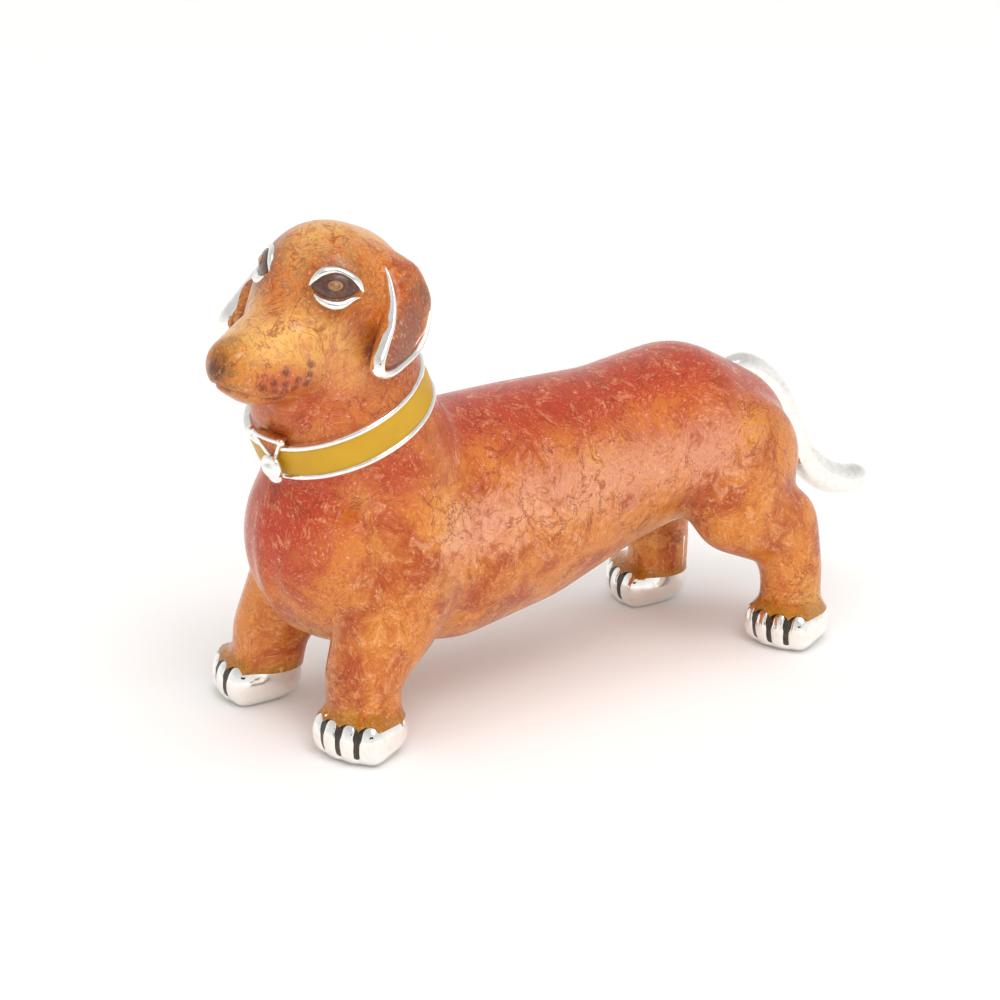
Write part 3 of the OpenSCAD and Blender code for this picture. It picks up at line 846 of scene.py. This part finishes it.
UPPER_LID = [
    ((-2.45, 0.1), 0.05), ((-1.8, 0.72), 0.3), ((-1.0, 1.3), 0.4), ((0.1, 1.46), 0.32),
    ((1.2, 1.02), 0.34), ((2.1, 0.36), 0.34), ((2.65, -0.3), 0.08),
]
LOWER_LID = [
    ((-1.9, -0.55), 0.05), ((-1.2, -1.12), 0.3), ((-0.2, -1.45), 0.4), ((0.7, -1.38), 0.36),
    ((1.5, -0.95), 0.24), ((2.3, -0.75), 0.04),
]
for side, side_name in ((LEFT, "left"), (RIGHT, "right")):
    place = eye_place(side)
    lids = bmesh.new()
    for lid in (UPPER_LID, LOWER_LID):
        path, ups = draped(skin_of_head, [place @ Vector((x, y, 0.3)) for (x, y), _ in lid], 0.02)
        pour(swept(path, [(w, w * 0.8) for _, w in lid], ups, 16), lids)
    made(lids, side_name + "_eye_lids", silver, "silver", side_name + "_eyelids")

    almond = bmesh.new()
    bmesh.ops.create_uvsphere(almond, u_segments=48, v_segments=32, radius=1, matrix=turned(90, "Y"))
    for vertex in almond.verts:
        x, y, z = vertex.co
        pinch = max(0.0, 1 - x * x) ** 0.3
        vertex.co = (x * 2.05, y * pinch * (1.25 if y > 0 else 1.1), z * pinch * 0.55)
    bmesh.ops.transform(almond, matrix=place @ Matrix.Translation((0.05, 0, -0.35)), verts=almond.verts[:])
    bmesh.ops.recalc_face_normals(almond, faces=almond.faces[:])
    made(almond, side_name + "_eye_almond", eye_brown, "eye_enamel", side_name + "_eye")

    pupil = bmesh.new()
    bmesh.ops.create_uvsphere(pupil, u_segments=40, v_segments=24, radius=1)
    for vertex in pupil.verts:
        x, y, z = vertex.co
        reach = math.hypot(x, y)
        vertex.co = (x * 0.62, y * 0.42, z * 0.16 - 0.05 * math.exp(-((reach - 0.6) / 0.15) ** 2))
    bmesh.ops.transform(pupil, matrix=place @ Matrix.Translation((0.0, 0.1, 0.18)), verts=pupil.verts[:])
    bmesh.ops.recalc_face_normals(pupil, faces=pupil.faces[:])
    made(pupil, side_name + "_pupil_ring", pupil_tan, "pupil_enamel", side_name + "_pupil")


# ---------- Collar, ring and tag ----------


def spun(profile):
    """A ring round the neck from a closed outline of (radius, height)."""
    bm = bmesh.new()
    dots = [bm.verts.new((r, 0, z)) for r, z in profile]
    edges = [bm.edges.new((a, b)) for a, b in zip(dots, dots[1:] + dots[:1])]
    bmesh.ops.spin(
        bm, geom=dots + edges, axis=(0, 0, 1), cent=(0, 0, 0), angle=2 * math.pi, steps=160, use_merge=True
    )
    bmesh.ops.remove_doubles(bm, verts=bm.verts[:], dist=0.001)
    bmesh.ops.recalc_face_normals(bm, faces=bm.faces[:])
    bmesh.ops.transform(bm, matrix=COLLAR, verts=bm.verts[:])
    return bm


BAND_HALF = 1.75    # half the collar's width
RIM_R = 0.27        # radius of its rounded rims
RIM_AT = 7.83       # and their place, from the neck's middle
FLOOR_R = 7.65      # radius of its channel's floor
INNER_R = 7.0       # and of the band inside, under the skin


def rim_curve(centre):
    """The outline of a rim that is rounded outwards, from its lower side to its upper."""
    turns = [math.radians(angle) for angle in range(0, 181, 20)]
    return [(RIM_AT + RIM_R * math.sin(a), centre - RIM_R * math.cos(a)) for a in turns]


band_profile = (
    [(INNER_R, -BAND_HALF)] + rim_curve(-BAND_HALF + RIM_R) + [(FLOOR_R, -BAND_HALF + 2.1 * RIM_R)]
    + [(FLOOR_R, BAND_HALF - 2.1 * RIM_R)] + rim_curve(BAND_HALF - RIM_R) + [(INNER_R, BAND_HALF)]
)
made(spun(band_profile), "collar_band", silver, "silver", "collar")
field = BAND_HALF - 1.6 * RIM_R
fill_profile = [(7.6, -field)] + [
    (7.86 + 0.12 * (1 - (k / 6) ** 4), field * k / 6) for k in range(-6, 7)
] + [(7.6, field)]
made(spun(fill_profile), "collar_yellow", yellow, "yellow_enamel", "collar_enamel")


def on_band(x, y, lift):
    """A point on the collar's front, this far out of the band."""
    return TAG @ Vector((x, y, math.sqrt(COLLAR_RADIUS ** 2 - x * x) - COLLAR_RADIUS + lift))


band_out = (TAG.to_3x3() @ Vector((0, 0, 1))).normalized()
loop = bmesh.new()
CORNERS = [(-1.55, 3.1), (1.65, 2.4), (0.0, 0.3)]
for a, b in zip(CORNERS, CORNERS[1:] + CORNERS[:1]):
    path = [on_band(a[0] + (b[0] - a[0]) * t, a[1] + (b[1] - a[1]) * t, 0.12) for t in (0, 0.33, 0.67, 1)]
    pour(swept(path, [(0.24, 0.22), (0.2, 0.2), (0.2, 0.2), (0.26, 0.24)], [band_out] * 4, 16), loop)
for (x, y), r in zip(CORNERS, (0.42, 0.36, 0.4)):
    bmesh.ops.create_icosphere(loop, subdivisions=3, radius=r, matrix=Matrix.Translation(on_band(x, y, 0.12)))
made(loop, "collar_loop", silver, "silver", "collar_ring")

patch = bmesh.new()
inside = [patch.verts.new(on_band(x * 0.92, y * 0.92 + 0.02, 0.1)) for x, y in CORNERS]
patch.faces.new(inside)
bmesh.ops.subdivide_edges(patch, edges=patch.edges[:], cuts=7, use_grid_fill=True)
bmesh.ops.triangulate(patch, faces=patch.faces[:])
grown = bmesh.ops.extrude_face_region(patch, geom=patch.faces[:])["geom"]
bmesh.ops.translate(patch, vec=-band_out * 0.9, verts=[g for g in grown if isinstance(g, bmesh.types.BMVert)])
bmesh.ops.recalc_face_normals(patch, faces=patch.faces[:])
made(patch, "collar_loop_coat", pearl_orange, "orange_enamel", "collar_ring_enamel")

tongue = swept(
    [on_band(0.0, 1.0, 0.3), on_band(0.02, 0.6, 0.5), on_band(0.06, -0.1, 0.7), on_band(0.1, -0.8, 0.7)],
    [(0.6, 0.3), (1.0, 0.5), (1.1, 0.55), (0.85, 0.45)], [band_out] * 4, 28, 8, True,
)
pressed(tongue, [on_band(-0.15, 0.7, 1.1), on_band(0.3, 0.65, 1.1)], 0.26, 0.4)
made(tongue, "collar_tongue", silver, "silver", "collar_tag")

for name in ("body_half_left", "body_half_right", "head_casting"):
    node = frame["nodes"][name]
    node.data.materials.clear()
    node.data.materials.append(silver)

# ---------- Floor, light and camera ----------

ground = bmesh.new()
bmesh.ops.create_grid(ground, x_segments=1, y_segments=1, size=3.0)
floor_mesh = bpy.data.meshes.new("floor")
ground.to_mesh(floor_mesh)
ground.free()
floor = bpy.data.objects.new("floor", floor_mesh)
bpy.context.scene.collection.objects.link(floor)
paper, paper_tree = blank("matt white paper")
surface(paper_tree, {"Base Color": linear("#F4F2F0"), "Roughness": 0.8})
floor_mesh.materials.append(paper)


def softbox(name, spot, aim, width, depth, watts, colour="#FFFFFF"):
    data = bpy.data.lights.new(name, "AREA")
    data.shape = "RECTANGLE"
    data.size, data.size_y = width, depth
    data.energy = watts
    data.color = linear(colour)[:3]
    lamp = bpy.data.objects.new(name, data)
    bpy.context.scene.collection.objects.link(lamp)
    lamp.visible_glossy = False
    lamp.location = spot
    lamp.rotation_mode = "QUATERNION"
    lamp.rotation_quaternion = (Vector(aim) - Vector(spot)).to_track_quat("-Z", "Y")


key_light = Vector((0.55, -0.05, 0.85)).normalized()
world = bpy.data.worlds.new("studio")
world.use_nodes = True
bpy.context.scene.world = world
sky = world.node_tree
sky.nodes["Background"].inputs["Color"].default_value = linear("#FFFFFF")
toward = add(sky, "ShaderNodeTexCoord").outputs["Generated"]
rise = add(sky, "ShaderNodeSeparateXYZ", {0: toward}).outputs["Z"]
dome = share(sky, rise, 0.0, 0.7, 1.0, 0.64)
# The key light has no edge, so it lies on the enamel as a soft sheen.
facing = add(sky, "ShaderNodeVectorMath", {0: toward, 1: key_light}, operation="DOT_PRODUCT").outputs["Value"]
glow = add(sky, "ShaderNodeMath", {0: facing, 1: 0.0}, operation="MAXIMUM").outputs[0]
glow = add(sky, "ShaderNodeMath", {0: glow, 1: 45.0}, operation="POWER").outputs[0]
light = add(sky, "ShaderNodeMath", {0: glow, 1: 5.5, 2: dome}, operation="MULTIPLY_ADD").outputs[0]
sky.links.new(light, sky.nodes["Background"].inputs["Strength"])
softbox("top", (0.05, -0.05, 0.6), (0, 0, 0), 0.5, 0.5, 1.2)
softbox("front left", (0.45, -0.25, 0.35), (0, -0.01, 0.02), 0.35, 0.35, 0.8)

target = Vector((0.0042, -0.0076, 0.018))
distance = 0.45
back = turned(55, "Z") @ turned(-20, "X") @ Vector((0, -1, 0))     # from the front left, a little above
camera_data = bpy.data.cameras.new("camera")
camera_data.lens = 189.5
camera_data.sensor_width = 36
camera_data.clip_start = 0.01
camera_data.clip_end = 10
# A dark card behind the camera, seen only in the silver, where it makes the small dark reflections.
shade = bmesh.new()
bmesh.ops.create_grid(shade, x_segments=1, y_segments=1, size=1)
bmesh.ops.scale(shade, vec=(0.12, 0.035, 1), verts=shade.verts[:])
behind = Matrix.Translation(target + back * 0.5) @ back.to_track_quat("Z", "Y").to_matrix().to_4x4()
bmesh.ops.transform(shade, matrix=behind, verts=shade.verts[:])
shade_mesh = bpy.data.meshes.new("dark card")
shade.to_mesh(shade_mesh)
shade.free()
card = bpy.data.objects.new("dark_card", shade_mesh)
bpy.context.scene.collection.objects.link(card)
felt, felt_tree = blank("black felt")
surface(felt_tree, {"Base Color": linear("#0A0A0A"), "Roughness": 1.0})
shade_mesh.materials.append(felt)
card.visible_camera = card.visible_diffuse = card.visible_shadow = card.visible_transmission = False

camera = bpy.data.objects.new("camera", camera_data)
bpy.context.scene.collection.objects.link(camera)
camera.location = target + back * distance
camera.rotation_mode = "QUATERNION"
camera.rotation_quaternion = (-back).to_track_quat("-Z", "Y")
bpy.context.scene.camera = camera
bpy.context.scene.view_settings.view_transform = "Standard"
